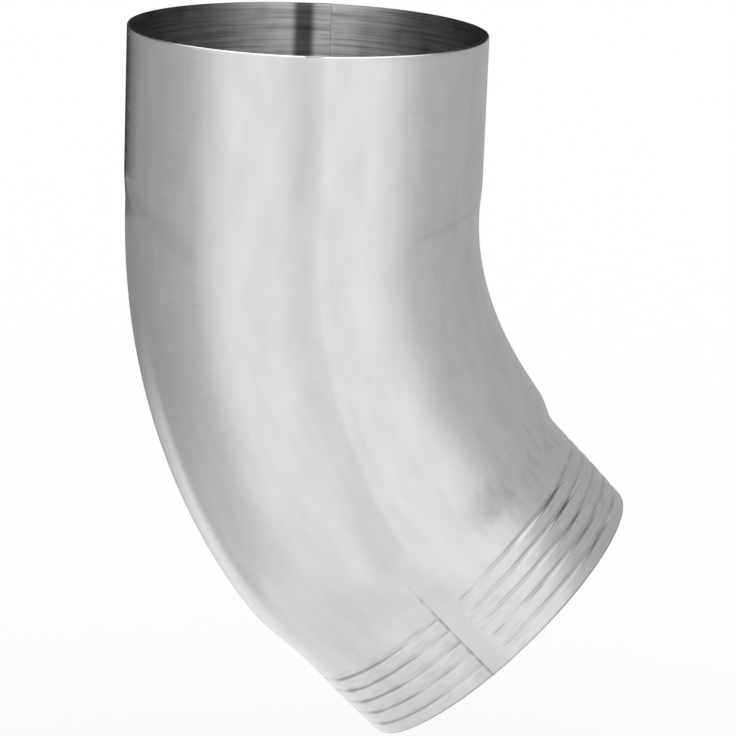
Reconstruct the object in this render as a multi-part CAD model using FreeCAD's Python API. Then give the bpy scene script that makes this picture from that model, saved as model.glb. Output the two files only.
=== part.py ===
import FreeCAD, Part
import math
import os

# A downspout elbow pressed from two sheet halves: the heel half round the outside
# of the bend and the throat half round its inside. The halves lap over each other
# along both sides. The mouth is a socket for the pipe above, and the lower end is
# drawn in to a ringed spigot that enters the pipe below.
# The origin is the middle of the socket's mouth, +Z is up along the socket, and the
# bend turns towards +X. Distances along the elbow run down its centreline.

# Sheet and fit, in millimetres
pipe_diameter = 100.0
pipe_clearance = 0.2
sheet = 0.65

# Centreline: a straight leg, a bend of one radius and a second straight leg
mouth_leg = 52.0
bend_radius = 136.0
bend_angle = 45.0
spigot_leg = 30.0

# Socket for the pipe above, with a drawn-in neck below it that stops the pipe
socket_length = 41.0
neck_length = 9.0
neck_draw = 0.5

# Body of the bend, which swells a little after the neck and tapers to the shoulder
body_swell = 2.3
swell_share = 0.8
body_taper = 0.3

# Spigot, drawn in at a soft shoulder to enter the pipe below
spigot_length = 29.5
shoulder_length = 9.0

# Ring grooves pressed into the spigot
groove_count = 5
groove_pitch = 4.6
groove_width = 1.7
groove_depth = 0.45

# Side laps: the throat half lies over the heel half, with a film of solder between
lap_width = 5.2
lap_joggle = 1.8
lap_film = 0.05
lap_cover = 0.4
edge_at_mouth = 0.7
edge_at_spigot = -3.2

# Number of cross-sections that shape the neck, the bend and the shoulder
neck_count = 3
swell_count = 7
taper_count = 2
shoulder_count = 3

# Sizes that follow from those above
pipe_radius = pipe_diameter / 2
socket_bore_radius = pipe_radius + pipe_clearance
socket_radius = socket_bore_radius + sheet
neck_radius = socket_radius - neck_draw
body_radius = neck_radius + body_swell
shoulder_radius = body_radius - body_taper
spigot_radius = pipe_radius
bend_length = bend_radius * math.radians(bend_angle)
total_run = mouth_leg + bend_length + spigot_leg
neck_end = socket_length + neck_length
swell_end = mouth_leg + swell_share * bend_length
spigot_start = total_run - spigot_length
shoulder_start = spigot_start - shoulder_length
joggle_rise = sheet + lap_film


def eased(low, high, share):
    """A value that leaves low and arrives at high without a kink."""
    share = min(max(share, 0.0), 1.0)
    return low + (high - low) * share * share * (3.0 - 2.0 * share)


def station(run):
    """Centre, flow direction and direction of the throat at a point of the centreline."""
    turn = math.radians(bend_angle)
    if run <= mouth_leg:
        angle = 0.0
        beyond = 0.0
        drop = run
    else:
        angle = min((run - mouth_leg) / bend_radius, turn)
        beyond = max(run - mouth_leg - bend_length, 0.0)
        drop = mouth_leg
    flow = FreeCAD.Vector(math.sin(angle), 0, -math.cos(angle))
    throat = FreeCAD.Vector(math.cos(angle), 0, math.sin(angle))
    bend_start = FreeCAD.Vector(0, 0, -drop)
    swing = FreeCAD.Vector(1.0 - math.cos(angle), 0, -math.sin(angle)) * bend_radius
    return bend_start + swing + flow * beyond, flow, throat


def tube_radius(run):
    """Outside radius of the tube: socket, neck, swelling body, shoulder, spigot."""
    if run <= neck_end:
        return eased(socket_radius, neck_radius, (run - socket_length) / neck_length)
    if run <= swell_end:
        return eased(neck_radius, body_radius, (run - neck_end) / (swell_end - neck_end))
    if run <= shoulder_start:
        return eased(body_radius, shoulder_radius, (run - swell_end) / (shoulder_start - swell_end))
    return eased(shoulder_radius, spigot_radius, (run - shoulder_start) / shoulder_length)


def lap_stands_out(run):
    """1 where the lap stands proud of the tube, 0 where it is pressed inwards.

    The socket's bore and the spigot's outside both stay round this way.
    """
    return eased(1.0, 0.0, (run - shoulder_start) / shoulder_length)


def lap_edge(run):
    """Place of the throat half's free edge, from the tube's side towards the throat."""
    share = (run - socket_length) / (spigot_start - socket_length)
    share = min(max(share, 0.0), 1.0)
    return edge_at_mouth + (edge_at_spigot - edge_at_mouth) * share * share


def outline_edges(run, towards, places):
    """Edges of one pressed half, cut square to the centreline: crown arcs and two sides.

    Each side runs from the outer crown arc over the joggle, round the lap and back to the
    inner crown arc. The places are lengths round the tube from its side, positive away
    from the middle of this half, and the lap's rise above the tube.
    """
    main_end, lap_start, edge, rise = places(run)
    centre, flow, throat = station(run)
    middle = throat * towards
    side = FreeCAD.Vector(0, -1, 0)
    radius = tube_radius(run)

    def at(depth, length, near):
        angle = math.pi / 2 + length / radius
        reach = radius + depth
        return centre + middle * (reach * math.cos(angle)) + side * (near * reach * math.sin(angle))

    def arc(depth, start, end, near):
        points = [at(depth, start, near), at(depth, (start + end) / 2, near), at(depth, end, near)]
        return Part.Arc(*points).toShape()

    def crown_arc(depth):
        crown = centre + middle * (radius + depth)
        return Part.Arc(at(depth, main_end, 1), crown, at(depth, main_end, -1)).toShape()

    def line(first, second):
        return Part.LineSegment(first, second).toShape()

    def side_edges(near):
        return [
            line(at(0, main_end, near), at(rise, lap_start, near)),
            arc(rise, lap_start, edge, near),
            line(at(rise, edge, near), at(rise - sheet, edge, near)),
            arc(rise - sheet, edge, lap_start, near),
            line(at(rise - sheet, lap_start, near), at(-sheet, main_end, near)),
        ]

    crowns = [crown_arc(0), crown_arc(-sheet)]
    return crowns, side_edges(1), side_edges(-1)


def heel_places(run):
    """The heel half: its laps lie inside, and reach almost to the other half's joggle."""
    edge = lap_edge(run)
    lap_start = edge - lap_cover
    sink = (lap_stands_out(run) - 1.0) * joggle_rise
    return lap_start - lap_joggle, lap_start, edge + lap_width - lap_cover, sink


def throat_places(run):
    """The throat half: its laps lie outside the heel half."""
    edge = -lap_edge(run)
    lap_start = edge - lap_width
    rise = lap_stands_out(run) * joggle_rise
    return lap_start - lap_joggle, lap_start, edge, rise


def steps(first, last, count):
    """Evenly spaced places after first, up to and with last."""
    return [first + (last - first) * (index + 1) / count for index in range(count)]


def shaped_runs():
    """Where the cross-sections of the neck, the bend and the shoulder stand."""
    runs = [socket_length]
    runs += steps(socket_length, neck_end, neck_count)
    runs += steps(neck_end, swell_end, swell_count)
    runs += steps(swell_end, shoulder_start, taper_count)
    runs += steps(shoulder_start, spigot_start, shoulder_count)
    return runs


def closed(edges):
    return Part.Wire(Part.__sortEdges__(edges))


def half_outline(run, towards, places):
    """The whole outline of one half, from which the socket and the bend are made."""
    crowns, near_side, far_side = outline_edges(run, towards, places)
    return closed(crowns + near_side + far_side)


def side_strip(towards, places, which):
    """The plain joggle and lap along one side of the spigot."""
    edges = outline_edges(spigot_start, towards, places)[which]
    ends = [edges[0].Vertexes[0].Point, edges[-1].Vertexes[-1].Point]
    flow = station(spigot_start)[1]
    outline = closed(edges + [Part.LineSegment(*ends).toShape()])
    return Part.Face(outline).extrude(flow * spigot_length)


def ringed_sheet(towards, places):
    """The ringed part of the spigot between its plain sides, as one turned sheet.

    Each groove is a V in the outside, and the sheet behind it stands up as a V inside.
    """
    half_width = groove_width / 2
    slope = groove_depth / half_width
    bead_depth = groove_depth - sheet + sheet * math.hypot(1.0, slope)
    bead_half_width = bead_depth / slope
    outside = [(0.0, 0.0)]
    inside = [(0.0, sheet)]
    for index in range(groove_count, 0, -1):
        place = spigot_length - groove_pitch * index
        outside += [(place - half_width, 0.0), (place, groove_depth), (place + half_width, 0.0)]
        inside += [(place - bead_half_width, sheet), (place, sheet + bead_depth)]
        inside += [(place + bead_half_width, sheet)]
    outside.append((spigot_length, 0.0))
    inside.append((spigot_length, sheet))

    centre, flow, throat = station(spigot_start)
    side = FreeCAD.Vector(0, -1, 0)
    reach = math.pi / 2 + places(spigot_start)[0] / spigot_radius
    out = throat * (towards * math.cos(reach)) + side * math.sin(reach)
    loop = outside + inside[::-1] + outside[:1]
    corners = [centre + flow * along + out * (spigot_radius - depth) for along, depth in loop]
    profile = Part.Face(Part.makePolygon(corners))
    return profile.revolve(centre, flow * -towards, 2 * math.degrees(reach))


def pressed_half(towards, places):
    """One whole half: socket, shaped body and ringed spigot as a single sheet."""
    flow = station(0.0)[1]
    socket = Part.Face(half_outline(0.0, towards, places)).extrude(flow * socket_length)
    outlines = [half_outline(run, towards, places) for run in shaped_runs()]
    body = Part.makeLoft(outlines, True, True)
    strips = [side_strip(towards, places, which) for which in (1, 2)]
    return socket.fuse([body, ringed_sheet(towards, places)] + strips)


def heel_shell():
    return pressed_half(-1, heel_places)


def throat_shell():
    return pressed_half(1, throat_places)


os.makedirs("parts", exist_ok=True)
heel_shell().exportStep("parts/heel_shell.step")
throat_shell().exportStep("parts/throat_shell.step")
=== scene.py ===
import math
import bpy
from mathutils import Matrix, Vector, noise


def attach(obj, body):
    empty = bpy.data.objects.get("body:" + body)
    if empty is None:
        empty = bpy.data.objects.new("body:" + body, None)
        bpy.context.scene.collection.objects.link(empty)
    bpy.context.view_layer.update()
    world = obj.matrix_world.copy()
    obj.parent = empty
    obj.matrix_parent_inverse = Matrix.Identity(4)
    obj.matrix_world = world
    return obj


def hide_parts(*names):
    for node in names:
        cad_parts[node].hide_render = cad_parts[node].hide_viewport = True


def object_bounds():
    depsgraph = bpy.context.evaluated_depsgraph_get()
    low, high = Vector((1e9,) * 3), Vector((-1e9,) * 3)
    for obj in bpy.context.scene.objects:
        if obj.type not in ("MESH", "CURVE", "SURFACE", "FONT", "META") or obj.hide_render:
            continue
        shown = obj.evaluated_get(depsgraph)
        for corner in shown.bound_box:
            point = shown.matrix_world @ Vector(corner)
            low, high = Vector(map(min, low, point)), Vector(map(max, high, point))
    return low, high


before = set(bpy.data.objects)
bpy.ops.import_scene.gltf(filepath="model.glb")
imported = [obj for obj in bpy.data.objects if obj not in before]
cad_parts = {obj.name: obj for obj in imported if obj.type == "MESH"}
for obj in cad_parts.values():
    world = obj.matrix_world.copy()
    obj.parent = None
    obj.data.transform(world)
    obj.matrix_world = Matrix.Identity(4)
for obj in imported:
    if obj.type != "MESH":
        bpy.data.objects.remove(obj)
cad_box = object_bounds()


# Heel shell: the sheet half round the outside of the bend, pressed from 0.65 mm
# bright-rolled zinc. Its long edges pass under the throat half, where they are
# soldered, and the ring grooves of the spigot are rolled into it cold.

# Sizes are in millimetres, and MM turns them to metres
MM = 0.001
SHEET = 0.65

# The line of the elbow and its outside radius, down from the socket's mouth. The press
# rounds the shoulder off from further up, and draws in the end of the spigot a little.
MOUTH_LEG = 52.0
BEND_RADIUS = 136.0
BEND_ANGLE = math.radians(45.0)
BEND_LENGTH = BEND_RADIUS * BEND_ANGLE
SPIGOT_LEG = 30.0
TOTAL_RUN = MOUTH_LEG + BEND_LENGTH + SPIGOT_LEG
SOCKET_END = 41.0
NECK_END = 50.0
SWELL_SHARE = 0.8
SWELL_END = MOUTH_LEG + SWELL_SHARE * BEND_LENGTH
SPIGOT_LENGTH = 29.5
SPIGOT_START = TOTAL_RUN - SPIGOT_LENGTH
SHOULDER_LENGTH = 9.0
SHOULDER_START = SPIGOT_START - SHOULDER_LENGTH
SHOULDER_SOFT = 7.0
SOCKET_RADIUS = 50.85
NECK_RADIUS = 50.35
BODY_RADIUS = 52.65
SHOULDER_RADIUS = 52.35
SPIGOT_RADIUS = 50.0
END_DRAW = 0.4
END_DRAW_LENGTH = 14.0

# Ring grooves of the spigot, counted up from its end. They reach their full depth on the
# throat half, between 20 and 30 mm round the tube from its side.
GROOVE_COUNT = 5
GROOVE_PITCH = 4.6
GROOVE_WIDTH = 1.7
GROOVE_DEPTH = 0.42
GROOVE_SHALLOW = 0.75
GROOVE_DEEPENS_FROM = 20.0
GROOVE_DEEPENS_OVER = 10.0
GROOVE_UNEVEN = 0.3
GROOVE_WANDER = 0.15
RING_CROWN = 0.12
RING_RISE = 1.5

# The throat half's free edge, in mm round the tube from the side of the elbow
EDGE_AT_MOUTH = 0.7
EDGE_AT_SPIGOT = -3.2
LAP_WIDTH = 5.2
LAP_COVER = 0.4
LAP_FILM = 0.03


def eased(low, high, share):
    """A value that leaves low and arrives at high without a kink."""
    share = min(max(share, 0.0), 1.0)
    return low + (high - low) * share * share * (3.0 - 2.0 * share)


def station(run):
    """Centre of the tube and direction of its throat, at a distance down the centreline."""
    angle = min(max(run - MOUTH_LEG, 0.0) / BEND_RADIUS, BEND_ANGLE)
    beyond = max(run - MOUTH_LEG - BEND_LENGTH, 0.0)
    flow = Vector((math.sin(angle), 0.0, -math.cos(angle)))
    throat = Vector((math.cos(angle), 0.0, math.sin(angle)))
    swing = Vector((1.0 - math.cos(angle), 0.0, -math.sin(angle))) * BEND_RADIUS
    return Vector((0.0, 0.0, -min(run, MOUTH_LEG))) + swing + flow * beyond, throat


def tube_radius(run):
    """Outside radius: socket, neck, swelling body, rounded shoulder and spigot."""
    if run <= NECK_END:
        return eased(SOCKET_RADIUS, NECK_RADIUS, (run - SOCKET_END) / (NECK_END - SOCKET_END))
    if run <= SWELL_END:
        return eased(NECK_RADIUS, BODY_RADIUS, (run - NECK_END) / (SWELL_END - NECK_END))
    share = (run - SWELL_END) / (SHOULDER_START - SWELL_END)
    body = eased(BODY_RADIUS, SHOULDER_RADIUS, share)
    soft_start = SHOULDER_START - SHOULDER_SOFT
    share = (run - soft_start) / (SPIGOT_START - soft_start)
    end = eased(0.0, END_DRAW, (run - TOTAL_RUN + END_DRAW_LENGTH) / END_DRAW_LENGTH)
    return eased(body, SPIGOT_RADIUS, share) - end


def lap_edge(run):
    """Place of the throat half's free edge, which drifts towards the heel down the bend."""
    share = min(max((run - SOCKET_END) / (SPIGOT_START - SOCKET_END), 0.0), 1.0)
    return EDGE_AT_MOUTH + (EDGE_AT_SPIGOT - EDGE_AT_MOUTH) * share * share


def on_spigot(run):
    """0 on the socket and the bend, 1 on the spigot."""
    return eased(0.0, 1.0, (run - SHOULDER_START) / (SPIGOT_START - SHOULDER_START))


def groove_sink(run, round_tube):
    """Depth of the ring grooves, which the roller cut a little unevenly. The rings that
    stand between them are slightly rounded."""
    rounded = 0.0
    first = TOTAL_RUN - GROOVE_PITCH * (GROOVE_COUNT + 0.5)
    if run > first:
        turns = (run - TOTAL_RUN) / GROOVE_PITCH
        rounded = RING_CROWN * (0.5 + 0.5 * math.cos(2.0 * math.pi * turns)) ** 2
        rounded *= eased(0.0, 1.0, (run - first) / RING_RISE)
    for number in range(1, GROOVE_COUNT + 1):
        spot = Vector((round_tube / 11.0, 4.0 * number, 0.0))
        middle = TOTAL_RUN - GROOVE_PITCH * number + GROOVE_WANDER * noise.noise(spot)
        off = abs(run - middle) / (GROOVE_WIDTH / 2)
        if off < 1.0:
            deepened = (round_tube - GROOVE_DEEPENS_FROM) / GROOVE_DEEPENS_OVER
            full = eased(GROOVE_SHALLOW, 1.0, deepened)
            depth = GROOVE_DEPTH * (full + GROOVE_UNEVEN * noise.noise(spot * 2.3))
            return rounded + depth * (1.0 - off * off) ** 1.5
    return rounded


# Marks of the press: from and to, in mm round the tube from its near side and down the
# centreline, then the width and height of the fold in the neck.
PRESS_MARKS = (
    (38.0, 51.0, 66.0, 46.5, 1.8, -0.2),
    (-72.0, 43.0, -34.0, 56.0, 5.0, -0.2),
    (-6.0, 47.5, -2.5, 48.5, 1.8, 0.08),
    (8.0, 48.0, 11.0, 48.5, 1.8, 0.08),
)


def press_marks(round_tube, run):
    """Height of the press marks over the plain sheet, in mm, below 0 in a dent."""
    height = 0.0
    for u0, run0, u1, run1, width, rise in PRESS_MARKS:
        along = Vector((u1 - u0, run1 - run0))
        offset = Vector((round_tube - u0, run - run0))
        share = min(max(offset.dot(along) / along.length_squared, 0.0), 1.0)
        away = (offset - along * share).length / width
        if away < 1.0:
            height += rise * (1.0 - away * away) ** 2
    return height


# Small folds above the rings, where the sheet is drawn in: how far above the shoulder and
# how far round the tube they start, how wide and long one of them is, and how deep
PUCKERS_ABOVE = 14.0
PUCKERS_ROUND_FROM = 18.0
PUCKER_WIDTH = 2.0
PUCKER_LENGTH = 8.0
PUCKER_DEPTH = 0.15


def puckers(round_tube, run):
    """The small folds on the throat side, 0 to 1."""
    fade_in, fade_out, fade_round = 8.0, 4.0, 14.0
    there = eased(0.0, 1.0, (run - SHOULDER_START + PUCKERS_ABOVE) / fade_in)
    there *= eased(1.0, 0.0, (run - SPIGOT_START) / fade_out)
    there *= eased(0.0, 1.0, (round_tube - PUCKERS_ROUND_FROM) / fade_round)
    bent = round_tube + 1.5 * noise.noise(Vector((round_tube / 9.0, run / 5.0, 1.0)))
    fold = noise.noise(Vector((bent / PUCKER_WIDTH, run / PUCKER_LENGTH, 5.0)))
    return there * max(0.0, 1.3 * fold)


# Dirt and painted shade, in mm: the flux line in the lap's corner and its soft width, the
# line of painted shade in a groove and how far it lies below the groove's middle, and how
# far from the lap's edge the rest starts
CORNER_HALF = 0.15
CORNER_FADE = 0.4
GROOVE_PAINTED_SHADE_HALF = 0.6
GROOVE_PAINTED_SHADE_DROP = 0.25
CLEAR_OF_CORNER = 0.6
SCUFFS_CLEAR_TO = 6.0
GROOVES_UNSHADED_TO = 6.5
GROOVES_FADE = 2.0

# How dark the painted shade in the folds and dents, the darker cut end and the scuffs are,
# from 0 to 1, and where they start
FOLD_PAINTED_SHADE = 0.35
DENT_PAINTED_SHADE_FROM = 0.04
CUT_END_DARKENING = 0.7
CUT_END_LENGTH = 0.7
CUT_END_FADE = 0.4
SCUFF_DIRT = 0.34
SCUFFS_BELOW = 3.0


def grime_and_painted_shade(from_lap, round_tube, run):
    """Darkening, 0 to 1: flux in a broken line in the lap's corner, painted shade in a line
    just below each groove's middle and in the dents and folds, a darker cut end of the
    spigot, and scuffs from other pipes on its rings. Each pattern reads the noise at a
    third value of its own, so that no two are alike."""
    in_corner = (abs(from_lap + CORNER_HALF) - CORNER_HALF) / CORNER_FADE
    patchy = 0.6 + 0.8 * noise.noise(Vector((round_tube / 5.0, run / 2.2, 8.0)))
    line = on_spigot(run) * eased(1.0, 0.0, in_corner) * patchy
    # painted shade: a darker line just below the middle of each groove
    for number in range(1, GROOVE_COUNT + 1):
        below = run - (TOTAL_RUN - GROOVE_PITCH * number) - GROOVE_PAINTED_SHADE_DROP
        if abs(below) < GROOVE_PAINTED_SHADE_HALF and abs(from_lap) > CLEAR_OF_CORNER:
            uneven = 0.45 + 0.8 * noise.noise(Vector((round_tube / 9.0, 3.0 * number, 2.0)))
            past_lap = (from_lap - GROOVES_UNSHADED_TO) / GROOVES_FADE
            open_groove = eased(0.0, 1.0, past_lap) if from_lap > 0.0 else 1.0
            line = max(line, eased(1.0, 0.0, abs(below) / GROOVE_PAINTED_SHADE_HALF) * uneven * open_groove)
    # painted shade in the dents of the press marks and in the folds
    fold = max(-press_marks(round_tube, run) - DENT_PAINTED_SHADE_FROM, FOLD_PAINTED_SHADE * puckers(round_tube, run))
    cut_end = CUT_END_DARKENING * eased(0.0, 1.0, (run - TOTAL_RUN + CUT_END_LENGTH) / CUT_END_FADE)
    scuffs = noise.noise(Vector((round_tube / 5.0, run, 11.0)))
    if 0.0 < from_lap < SCUFFS_CLEAR_TO:
        scuffs = 0.0
    scuffs *= SCUFF_DIRT * eased(0.0, 1.0, (run - SPIGOT_START - SCUFFS_BELOW) / SCUFFS_BELOW)
    return min(max(line, fold, cut_end, scuffs, 0.0), 1.0)


# Inside the socket, in mm down from its rim: a rubbed line and its soft width, and where
# the stains that pipes left fade out
RIM_LINE = 3.1
RIM_LINE_HALF = 0.1
RIM_LINE_FADE = 0.3
STAINS_TO = 30.0
STAINS_FADE = 10.0
STAINS_MOST = 0.6


def rubbed(round_tube, run):
    """The rubbed line and the stains inside the socket, 0 to 1."""
    spot = Vector((round_tube / 9.0, run / 2.0, 4.0))
    line = eased(1.0, 0.0, (abs(run - RIM_LINE) - RIM_LINE_HALF) / RIM_LINE_FADE)
    line *= 0.45 + 1.2 * noise.noise(spot)
    stains = 1.3 * noise.noise(Vector((round_tube / 7.0, run / 3.0, 6.0))) - 0.2
    return min(max(line, stains, 0.0), STAINS_MOST) * eased(1.0, 0.0, (run - STAINS_TO) / STAINS_FADE)


def hand_waviness(place, round_tube, run):
    """The slight waves that pressing and planishing leave in thin sheet, in mm. They run
    longer down the tube than round it, and lie inside the true size nearly everywhere."""
    inwards, broad, long = 0.1, 0.05, 0.02
    streak = Vector((round_tube / 8.0, run / 30.0, 3.0))
    waves = broad * noise.noise(place / 26.0) + long * noise.noise(streak)
    marks = min(press_marks(round_tube, run), inwards)
    return waves - inwards + marks - PUCKER_DEPTH * puckers(round_tube, run)


def runs_down():
    """Where the rows of the mesh stand: closest at the two ends and over the grooves."""
    end_rows = [0.0, 0.06, 0.18, 0.4]
    below_neck = NECK_END + 4.0
    above_shoulder = SHOULDER_START - 2.0
    runs = list(end_rows)
    for first, last, pitch in (
        (end_rows[-1], SOCKET_END, 2.4),
        (SOCKET_END, below_neck, 0.75),
        (below_neck, above_shoulder, 1.9),
        (above_shoulder, SPIGOT_START, 0.5),
        (SPIGOT_START, TOTAL_RUN - end_rows[-1], 0.25),
    ):
        count = math.ceil((last - first) / pitch)
        runs += [first + (last - first) * (k + 1) / count for k in range(count)]
    return runs + [TOTAL_RUN - row for row in reversed(end_rows[:-1])]


def from_edge():
    """Distances from a half's free edge where its mesh is close, in mm: the edge itself,
    the lap, and the joggle or the other half's edge beyond it."""
    edge = [0.0, 0.08, 0.2, 0.35, 0.5, 0.65, 0.8, 1.0, 1.2, 1.4]
    lap = [1.4 + 0.376 * (k + 1) for k in range(9)]
    beyond = [4.87 + 0.36 * k for k in range(16)]
    return edge + lap + beyond


# The corners of both cut ends are rounded this deep, over this length
LIP_ROUND = 0.23
LIP_ROUND_LENGTH = 0.5


def pressed_sheet(name, turn, free_edge, surfaces):
    """One half as a closed sheet of its true thickness.

    turn is 1 for the throat half and -1 for the heel half. free_edge gives the place of
    its long edge, from the side of the elbow towards this half's middle, and surfaces the
    heights of its outside and inside over the tube at a distance from that edge. The map
    "sheet" holds the place round and down the tube in centimetres, and the map "seam" the
    distance from the throat half's edge in centimetres and the darkening from 0 to 1: dirt,
    flux and painted shade outside, rubbing and stains inside.
    """
    near = from_edge()
    middle_count = 100
    verts, spread, seam = [], [], []
    runs = runs_down()
    for run in runs:
        centre, throat = station(run)
        radius = tube_radius(run)
        start = free_edge(run)
        length = math.pi * radius - 2.0 * start
        fine = near[-1]
        across = list(near)
        across += [fine + (length - 2 * fine) * (k + 1) / middle_count for k in range(middle_count - 1)]
        across += [length - d for d in reversed(near)]
        thin = LIP_ROUND * max(0.0, 1.0 - min(run, TOTAL_RUN - run) / LIP_ROUND_LENGTH) ** 2
        outer, inner, row_uv, seam_outside, seam_inside = [], [], [], [], []
        for d in across:
            angle = (start + d) / radius
            out = throat * (turn * math.sin(angle)) + Vector((0.0, -math.cos(angle), 0.0))
            round_tube = turn * (start + d)
            high, low = surfaces(run, min(d, length - d), round_tube)
            wave = hand_waviness(centre + out * radius, round_tube, run)
            outer.append((centre + out * (radius + high + wave - thin)) * MM)
            inner.append((centre + out * (radius + low + wave + thin)) * MM)
            row_uv.append((round_tube, run))
            from_lap = min(d, length - d) - (0.0 if turn > 0 else LAP_WIDTH - LAP_COVER)
            from_lap *= turn
            # the second value: flux, dirt and painted shade in the grooves and dents
            seam_outside.append((from_lap, 10.0 * grime_and_painted_shade(from_lap, round_tube, run)))
            seam_inside.append((from_lap, 10.0 * rubbed(round_tube, run)))
        verts += outer + inner[::-1]
        spread += row_uv + row_uv[::-1]
        seam += seam_outside + seam_inside[::-1]
    width = len(verts) // len(runs)
    half = width // 2
    faces, slots = [], []
    for row in range(len(runs) - 1):
        for k in range(width):
            a, b = row * width + k, row * width + (k + 1) % width
            faces.append((a, b, b + width, a + width))
            slots.append(0 if k < half - 1 else 1 if half <= k < width - 1 else 2)
    for base in (0, (len(runs) - 1) * width):
        for k in range(half - 1):
            a, b = base + k, base + k + 1
            c, d = base + width - 2 - k, base + width - 1 - k
            faces.append((a, d, c, b) if base == 0 else (a, b, c, d))
            slots.append(2)
    if turn > 0:
        faces = [face[::-1] for face in faces]
    mesh = bpy.data.meshes.new(name)
    mesh.from_pydata(verts, [], faces)
    mesh.polygons.foreach_set("material_index", slots)
    mesh.polygons.foreach_set("use_smooth", [True] * len(faces))
    corner = [0] * len(mesh.loops)
    mesh.loops.foreach_get("vertex_index", corner)
    for map_name, places in (("sheet", spread), ("seam", seam)):
        uv_map = mesh.uv_layers.new(name=map_name)
        uv_map.uv.foreach_set("vector", [c / 10.0 for v in corner for c in places[v]])
    mesh.set_sharp_from_angle(angle=math.radians(50.0))
    mesh.update()
    piece = bpy.data.objects.new(name, mesh)
    bpy.context.scene.collection.objects.link(piece)
    return piece


# On the spigot the heel half dives under the throat half's edge over this length, and is
# at its full depth this far beneath. Its grooves end before the edge, after a plain bit.
DIVE_BENEATH = 0.62
DIVE_LENGTH = 0.9
PLAIN_BESIDE_LAP = 0.4
GROOVE_START_LENGTH = 0.6


def heel_edge(run):
    return -(lap_edge(run) + LAP_WIDTH - LAP_COVER)


def heel_surfaces(run, d, round_tube):
    """Plain sheet, which dives under the throat half's edge on the spigot."""
    to_throat_edge = d - (LAP_WIDTH - LAP_COVER)
    down = (to_throat_edge + DIVE_BENEATH) / DIVE_LENGTH
    dive = on_spigot(run) * eased(SHEET + LAP_FILM, 0.0, down)
    grooved = eased(0.0, 1.0, (to_throat_edge - PLAIN_BESIDE_LAP) / GROOVE_START_LENGTH)
    sink = dive + groove_sink(run, round_tube) * grooved
    return -sink, -sink - SHEET


def linear(hex_colour):
    """An sRGB hex colour as the linear colour that a node takes."""
    parts = [int(hex_colour[i:i + 2], 16) / 255.0 for i in (1, 3, 5)]
    return [c / 12.92 if c <= 0.04045 else ((c + 0.055) / 1.055) ** 2.4 for c in parts] + [1.0]


def add(tree, kind, inputs, **settings):
    """Adds a node with its settings, and sets or links its inputs."""
    node = tree.nodes.new(kind)
    for name, value in settings.items():
        setattr(node, name, value)
    for name, value in inputs.items():
        if isinstance(value, bpy.types.NodeSocket):
            tree.links.new(value, node.inputs[name])
        else:
            node.inputs[name].default_value = value
    return node


# The two maps hold centimetres, so a scale is so many to the centimetre. Clouds are 7 mm
# wide and 20 mm long. Rolling lines are 0.9 mm apart, coarser than the real 0.1 mm so that
# they show, and about 30 mm long. The dull strip changes tone from 36 to 48 mm down.
CLOUDS_PER_CM = (1.4, 0.5, 1.0)
LINES_PER_CM = (0.35, 11.0, 1.0)
STRIP_CHANGES_FROM = 3.6
STRIP_CHANGES_TO = 4.8


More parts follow.
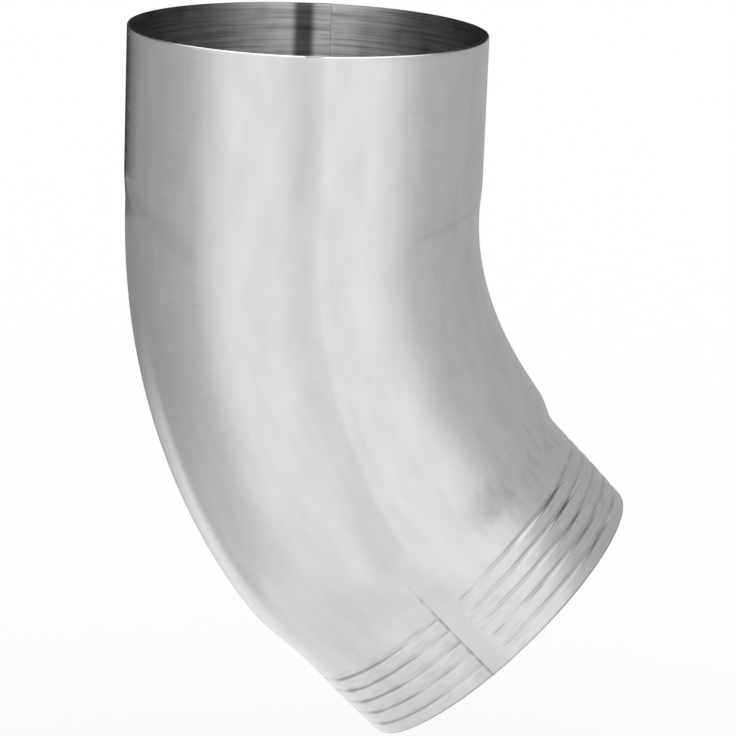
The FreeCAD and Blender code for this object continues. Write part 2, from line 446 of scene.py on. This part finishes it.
def rolled_zinc(name, light, dark, roughness, line_depth, streaks, strip, dull_in_socket,
                dull_on_body, brushed):
    """Bright-rolled titanium zinc: a cool satin grey with soft cloudy streaks down the
    tube, fine rolling lines round it that blur what it reflects, and a duller strip
    where the soldering iron ran along the lap.

    line_depth is in mm, and streaks says how far the rolling lines darken the metal. strip
    is the middle of the dull strip, half its core and half its whole width, in mm from the
    throat half's edge. Its tone is given for the socket and for the body. brushed is how
    much the rolling lines stretch a reflection.
    """
    material = bpy.data.materials.new(name)
    material.use_nodes = True
    tree = material.node_tree
    shader = tree.nodes["Principled BSDF"]
    where = add(tree, "ShaderNodeUVMap", {}, uv_map="sheet")
    patches = add(tree, "ShaderNodeMapping", {"Vector": where.outputs[0], "Scale": CLOUDS_PER_CM})
    stretch = add(tree, "ShaderNodeMapping", {"Vector": where.outputs[0], "Scale": LINES_PER_CM})
    clouds = add(tree, "ShaderNodeTexNoise", {"Vector": patches.outputs[0], "Scale": 1.0, "Detail": 3.0})
    lines = add(tree, "ShaderNodeTexNoise", {"Vector": stretch.outputs[0], "Scale": 1.0, "Detail": 2.0})
    tone = add(tree, "ShaderNodeMix", {"Factor": clouds.outputs[0]}, data_type="RGBA")
    tone.inputs["A"].default_value = linear(light)
    tone.inputs["B"].default_value = linear(dark)
    seam_map = add(tree, "ShaderNodeUVMap", {}, uv_map="seam")
    seam = add(tree, "ShaderNodeSeparateXYZ", {"Vector": seam_map.outputs[0]})
    middle, core, edge = strip
    aside = add(tree, "ShaderNodeMath", {0: seam.outputs["X"], 1: middle / 10.0}, operation="SUBTRACT")
    to_strip = add(tree, "ShaderNodeMath", {0: aside.outputs[0]}, operation="ABSOLUTE")
    down = add(tree, "ShaderNodeSeparateXYZ", {"Vector": where.outputs[0]})
    strip_tone = add(tree, "ShaderNodeMapRange", {
        "Value": down.outputs["Y"], "From Min": STRIP_CHANGES_FROM, "From Max": STRIP_CHANGES_TO,
        "To Min": dull_in_socket, "To Max": dull_on_body}, interpolation_type="SMOOTHSTEP")
    dull = add(tree, "ShaderNodeMapRange", {
        "Value": to_strip.outputs[0], "From Min": core / 10.0, "From Max": edge / 10.0,
        "To Min": strip_tone.outputs[0], "To Max": 1.0}, interpolation_type="SMOOTHSTEP")
    # the seam map's second value darkens the metal down to 0.55: flux and dirt, painted shade in the
    # grooves and dents, and inside, rubbing and stains
    clean_and_unshaded = add(tree, "ShaderNodeMapRange", {
        "Value": seam.outputs["Y"], "To Min": 1.0, "To Max": 0.55})
    streaky = add(tree, "ShaderNodeMapRange", {
        "Value": lines.outputs[0], "From Min": 0.3, "From Max": 0.6, "To Min": 1.0 - streaks})
    unsoiled_and_unshaded = add(tree, "ShaderNodeMath", {
        0: dull.outputs[0], 1: clean_and_unshaded.outputs[0]}, operation="MULTIPLY")
    left = add(tree, "ShaderNodeMath", {
        0: unsoiled_and_unshaded.outputs[0], 1: streaky.outputs[0]}, operation="MULTIPLY")
    worked = add(tree, "ShaderNodeVectorMath", {
        0: tone.outputs["Result"], "Scale": left.outputs[0]}, operation="SCALE")
    tree.links.new(worked.outputs[0], shader.inputs["Base Color"])
    gloss = add(tree, "ShaderNodeMapRange", {
        "Value": lines.outputs[0], "From Min": 0.3, "From Max": 0.7,
        "To Min": roughness - 0.04, "To Max": roughness + 0.04})
    tree.links.new(gloss.outputs[0], shader.inputs["Roughness"])
    grain = add(tree, "ShaderNodeBump", {
        "Height": lines.outputs[0], "Strength": 0.2, "Distance": line_depth * MM})
    tree.links.new(grain.outputs[0], shader.inputs["Normal"])
    shader.inputs["Metallic"].default_value = 1.0
    shader.inputs["Anisotropic"].default_value = brushed
    shader.inputs["Anisotropic Rotation"].default_value = 0.25
    round_tube = add(tree, "ShaderNodeTangent", {}, direction_type="UV_MAP", uv_map="sheet")
    tree.links.new(round_tube.outputs[0], shader.inputs["Tangent"])
    return material


# outside, the smooth rolled face mirrors the studio as broad soft bands, with the faintest
# of dull strips along the lap
outside_zinc = rolled_zinc(
    "rolled_zinc_outside", light="#eaeaeb", dark="#d2d3d4", roughness=0.22, line_depth=0.05,
    streaks=0.02, strip=(0.0, 0.0, 7.0), dull_in_socket=0.92, dull_on_body=0.985, brushed=0.0)
# inside, a darker copy of the zinc, whose darker tone is painted shade of the tube's inside,
# with streaky rolling lines, and nearly black where solder and flux lie on the lap
shaded_inside_zinc = rolled_zinc(
    "rolled_zinc_inside_painted_shade", light="#c4c5c6", dark="#a6a7a8", roughness=0.45, line_depth=0.3,
    streaks=0.45, strip=(-3.3, 1.6, 4.3), dull_in_socket=0.2, dull_on_body=0.2, brushed=0.9)
# the sheared edges are bright new metal, which draws the rim as a thin light line
sheared_edge = rolled_zinc(
    "sheared_zinc_edge", light="#f0f0f0", dark="#e2e3e4", roughness=0.3, line_depth=0.05,
    streaks=0.0, strip=(0.0, 0.0, 0.1), dull_in_socket=0.45, dull_on_body=0.45, brushed=0.0)

heel = pressed_sheet("heel_sheet", -1, heel_edge, heel_surfaces)
for zinc in (outside_zinc, shaded_inside_zinc, sheared_edge):
    heel.data.materials.append(zinc)
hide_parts("heel_shell")
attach(heel, "root")


# Throat shell: the sheet half round the inside of the bend, pressed like the heel.
# Its long edges are joggled out over the heel half, hammered thin and soldered down;
# on the spigot they lie flush, and the heel half is pressed in beneath them.

# How far the lap's outside stands over the solder at its edge and at its joggle
LAP_AT_EDGE = 0.1
LAP_AT_JOGGLE = 0.2
JOGGLE_WIDTH = 3.4
# Depths of the inside: solder in the joggle's hollow, and the thin edge on the spigot
SOLDER_DEPTH = 0.52
THIN_EDGE = 0.12
THIN_EDGE_WIDTH = 0.6
# The grooves start this far from the edge, and deepen over this length
LAP_PLAIN_TO = 6.2
LAP_GROOVES_OVER = 2.0


def throat_surfaces(run, d, round_tube):
    """The lap, its joggle down to the plain sheet, and the plain start of each groove."""
    spigot = on_spigot(run)
    joggle = (d - LAP_WIDTH) / JOGGLE_WIDTH
    lap_top = LAP_FILM + eased(LAP_AT_EDGE, LAP_AT_JOGGLE, d / LAP_WIDTH)
    high = (1.0 - spigot) * eased(lap_top, 0.0, joggle)
    low_on_body = LAP_FILM if d < LAP_WIDTH - LAP_COVER else eased(-SOLDER_DEPTH, -SHEET, joggle)
    low_on_spigot = eased(-THIN_EDGE, -SHEET, d / THIN_EDGE_WIDTH)
    low = low_on_body * (1.0 - spigot) + low_on_spigot * spigot
    sink = groove_sink(run, round_tube) * eased(0.0, 1.0, (d - LAP_PLAIN_TO) / LAP_GROOVES_OVER)
    return high - sink, low - sink


throat = pressed_sheet("throat_sheet", 1, lap_edge, throat_surfaces)
for zinc in (outside_zinc, shaded_inside_zinc, sheared_edge):
    throat.data.materials.append(zinc)
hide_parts("throat_shell")
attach(throat, "root")


# Floor: a seamless sheet of matt white paper, 70 mm below the elbow. It keeps the
# elbow's soft shadow, and the metal reflects the white studio round it instead.

FLOOR_REACH = 6.0
FLOOR_DROP = 0.07

floor_mesh = bpy.data.meshes.new("floor")
floor_mesh.from_pydata([
    (-FLOOR_REACH, -FLOOR_REACH, 0.0), (FLOOR_REACH, -FLOOR_REACH, 0.0),
    (FLOOR_REACH, FLOOR_REACH, 0.0), (-FLOOR_REACH, FLOOR_REACH, 0.0)], [], [(0, 1, 2, 3)])
floor = bpy.data.objects.new("floor", floor_mesh)
floor.location.z = cad_box[0].z - FLOOR_DROP
bpy.context.scene.collection.objects.link(floor)
# uncoated white paper: dull and even, with no shine of its own
paper = bpy.data.materials.new("white_paper")
paper.use_nodes = True
paper.node_tree.nodes["Principled BSDF"].inputs["Base Color"].default_value = linear("#ffffff")
paper.node_tree.nodes["Principled BSDF"].inputs["Roughness"].default_value = 0.9
paper.node_tree.nodes["Principled BSDF"].inputs["Specular IOR Level"].default_value = 0.0
floor_mesh.materials.append(paper)
floor.visible_glossy = False


# Studio: a white room at plain strength. Large grey cards stand at the sides and behind
# the elbow, with soft edges, and a paler one by the camera, so that the round metal shows
# its broad bright bands between greyer sides. Only reflections see them and the lamps.

# The cards stand round this place, in metres, and their heights are counted from it. A
# leaning card keeps its turns at this height.
CARDS_MIDDLE = (0.03, 0.0, -0.1)
LEAN_FROM = -0.5
CARD_STRIPS = 48


def card(name, radius, low, foot, high, lean, tones, strength=1.0):
    """A curved glowing card round the elbow, from low to high metres, white at its lowest
    and in its full tones above its foot.

    tones gives its colour at turns in degrees, from the camera to the right, and lean
    turns it by so many degrees for each metre of height. Returns the card.
    """
    first, last = tones[0][0], tones[-1][0]
    verts, faces, spread = [], [], []
    for k in range(CARD_STRIPS + 1):
        for height in (low, high):
            turn = first + (last - first) * k / CARD_STRIPS + lean * (height - LEAN_FROM)
            turn = math.radians(turn)
            verts.append((radius * math.sin(turn), -radius * math.cos(turn), height))
            spread.append((k / CARD_STRIPS, height - low))
    for k in range(CARD_STRIPS):
        faces.append((2 * k, 2 * k + 2, 2 * k + 3, 2 * k + 1))
    mesh = bpy.data.meshes.new(name)
    mesh.from_pydata(verts, [], faces)
    uv_map = mesh.uv_layers.new(name="card")
    uv_map.uv.foreach_set("vector", [c for face in faces for v in face for c in spread[v]])
    piece = bpy.data.objects.new(name, mesh)
    piece.location = CARDS_MIDDLE
    bpy.context.scene.collection.objects.link(piece)
    paint = bpy.data.materials.new(name)
    paint.use_nodes = True
    tree = paint.node_tree
    tree.nodes.clear()
    card_map = add(tree, "ShaderNodeUVMap", {}, uv_map="card")
    spot = add(tree, "ShaderNodeSeparateXYZ", {"Vector": card_map.outputs[0]})
    shades = add(tree, "ShaderNodeValToRGB", {"Fac": spot.outputs["X"]})
    stops = shades.color_ramp.elements
    for turn, colour in tones[1:-1]:
        stops.new((turn - first) / (last - first)).color = linear(colour)
    stops[0].color = linear(tones[0][1])
    stops[len(stops) - 1].color = linear(tones[-1][1])
    fade = add(tree, "ShaderNodeMapRange", {
        "Value": spot.outputs["Y"], "From Min": 0.0, "From Max": foot - low})
    shown = add(tree, "ShaderNodeMix", {
        "Factor": fade.outputs[0], "B": shades.outputs[0]}, data_type="RGBA")
    shown.inputs["A"].default_value = linear("#ffffff")
    glow = add(tree, "ShaderNodeEmission", {"Color": shown.outputs["Result"], "Strength": strength})
    add(tree, "ShaderNodeOutputMaterial", {"Surface": glow.outputs[0]})
    mesh.materials.append(paint)
    piece.visible_camera = False
    piece.visible_diffuse = False
    piece.visible_shadow = False
    return piece


card("grey_card_right", radius=2.0, low=-3.2, foot=-1.2, high=3.0, lean=-5.0, tones=(
    (50.0, "#ffffff"), (60.0, "#f2f2f2"), (70.0, "#d6d6d6"), (80.0, "#c9c9ca"),
    (95.0, "#c2c2c3"), (130.0, "#b9b9ba"), (178.0, "#b4b4b5")))
card("grey_card_left_behind", radius=2.0, low=-1.15, foot=-0.62, high=3.0, lean=5.0, tones=(
    (-178.0, "#8c8c8d"), (-150.0, "#959596"), (-130.0, "#a0a0a1")))
card("grey_card_left", radius=2.0, low=-2.9, foot=-0.8, high=3.0, lean=5.0, tones=(
    (-130.0, "#a0a0a1"), (-110.0, "#b0b0b1"),
    (-90.0, "#b8b8b9"), (-71.0, "#cbcbcc"), (-60.0, "#e8e8e9"), (-48.0, "#ffffff")))
card("pale_card_by_camera", radius=2.4, low=-2.6, foot=-2.0, high=0.6, lean=0.0, tones=(
    (-16.0, "#ffffff"), (-3.0, "#f1f1f1"), (3.0, "#f1f1f1"), (16.0, "#ffffff")))
# a dark gap between the studio's screens, which shows down the socket's left side
card("dark_gap_left", radius=1.9, low=-0.36, foot=-0.35, high=0.3, lean=0.0, tones=(
    (-176.0, "#202020"), (-158.0, "#202020"), (-149.0, "#5c5c5c"), (-140.0, "#868687"),
    (-132.0, "#979798")))
# a black flag over the socket keeps the two ends of its inside dark, a lamp right over its
# mouth lights the middle, and a weak one before it lights the lip
flag = card("dark_flag_over_mouth", radius=0.11, low=0.104, foot=0.105, high=0.4, lean=0.0, tones=(
    (30.0, "#ffffff"), (62.0, "#c0c0c0"), (92.0, "#4c4c4c"), (120.0, "#121212"), (180.0, "#080808"),
    (240.0, "#121212"), (268.0, "#4c4c4c"), (298.0, "#c0c0c0"), (318.0, "#ffffff")))
lamp = card("lamp_over_mouth", radius=0.045, low=0.104, foot=0.105, high=0.135, lean=0.0, tones=(
    (-50.0, "#ffffff"), (0.0, "#ffffff"), (42.0, "#ffffff")), strength=4.0)
lip_lamp = card("lamp_before_lip", radius=0.109, low=0.128, foot=0.129, high=0.22, lean=0.0, tones=(
    (-75.0, "#ffffff"), (0.0, "#ffffff"), (70.0, "#ffffff")), strength=1.55)
for over_socket in (flag, lamp, lip_lamp):
    over_socket.location.x = 0.0
# a grey flag on the right, which the upper flanks of the ring grooves pick up as dark lines
card("grey_flag_right", radius=0.16, low=0.108, foot=0.109, high=0.4, lean=0.0, tones=(
    (45.0, "#ffffff"), (62.0, "#828282"), (120.0, "#828282"), (135.0, "#ffffff")))

# the pale floor as the metal sees it, a disc that is a little greyer right below the elbow
FLOOR_CARD_RADIUS = 3.2
FLOOR_CARD_HEIGHT = -2.2
FLOOR_CARD_SIDES = 48

rim = []
for k in range(FLOOR_CARD_SIDES):
    angle = k * 2.0 * math.pi / FLOOR_CARD_SIDES
    rim.append((FLOOR_CARD_RADIUS * math.cos(angle), FLOOR_CARD_RADIUS * math.sin(angle), 0.0))
sectors = [(0, k + 1, (k + 1) % FLOOR_CARD_SIDES + 1) for k in range(FLOOR_CARD_SIDES)]
below = bpy.data.meshes.new("floor_card")
below.from_pydata([(0.0, 0.0, 0.0)] + rim, [], sectors)
reach = below.uv_layers.new(name="reach")
reach.uv.foreach_set("vector", [c for sector in sectors for c in (0, 0, 1, 0, 1, 0)])
floor_card = bpy.data.objects.new("floor_card", below)
floor_card.location = (0.0, 0.0, FLOOR_CARD_HEIGHT)
bpy.context.scene.collection.objects.link(floor_card)
pale = bpy.data.materials.new("floor_card")
pale.use_nodes = True
pale.node_tree.nodes.clear()
reach_map = add(pale.node_tree, "ShaderNodeUVMap", {}, uv_map="reach")
outwards = add(pale.node_tree, "ShaderNodeSeparateXYZ", {"Vector": reach_map.outputs[0]})
greyer = add(pale.node_tree, "ShaderNodeValToRGB", {"Fac": outwards.outputs["X"]})
greyer.color_ramp.elements[0].color = linear("#eaeaea")
greyer.color_ramp.elements[1].color = linear("#ffffff")
pale_glow = add(pale.node_tree, "ShaderNodeEmission", {"Color": greyer.outputs[0]})
add(pale.node_tree, "ShaderNodeOutputMaterial", {"Surface": pale_glow.outputs[0]})
below.materials.append(pale)
floor_card.visible_camera = False
floor_card.visible_diffuse = False
floor_card.visible_shadow = False

world = bpy.data.worlds.new("white_room")
world.use_nodes = True
world.node_tree.nodes["Background"].inputs["Color"].default_value = linear("#ffffff")
world.node_tree.nodes["Background"].inputs["Strength"].default_value = 1.0
bpy.context.scene.world = world


# Camera: a long lens slightly above the elbow and rolled a little, as the photo was
# taken. Its place was fitted to the elbow's outline, with no shift of the lens.

RISE = math.radians(14.445)
ROLL = math.radians(2.237)
AWAY = 931.18
AIM = Vector((20.369, 0.0, -97.537))
FOCAL_PIXELS = 3238.859
FRAME_PIXELS = 736
SENSOR_WIDTH = 36.0

back = Vector((0.0, -math.cos(RISE), math.sin(RISE)))
level = Vector((1.0, 0.0, 0.0))
upright = level.cross(-back)
across = level * math.cos(ROLL) + upright * math.sin(ROLL)
upwards = upright * math.cos(ROLL) - level * math.sin(ROLL)
camera_data = bpy.data.cameras.new("camera")
camera_data.sensor_width = SENSOR_WIDTH
camera_data.lens = FOCAL_PIXELS * SENSOR_WIDTH / FRAME_PIXELS
camera_data.clip_start = 0.01
camera_data.clip_end = 50.0
camera = bpy.data.objects.new("camera", camera_data)
camera.matrix_world = Matrix.Translation((AIM + back * AWAY) * MM) @ Matrix(
    (across, upwards, back)).transposed().to_4x4()
bpy.context.scene.collection.objects.link(camera)
bpy.context.scene.camera = camera
bpy.context.scene.view_settings.view_transform = "Standard"
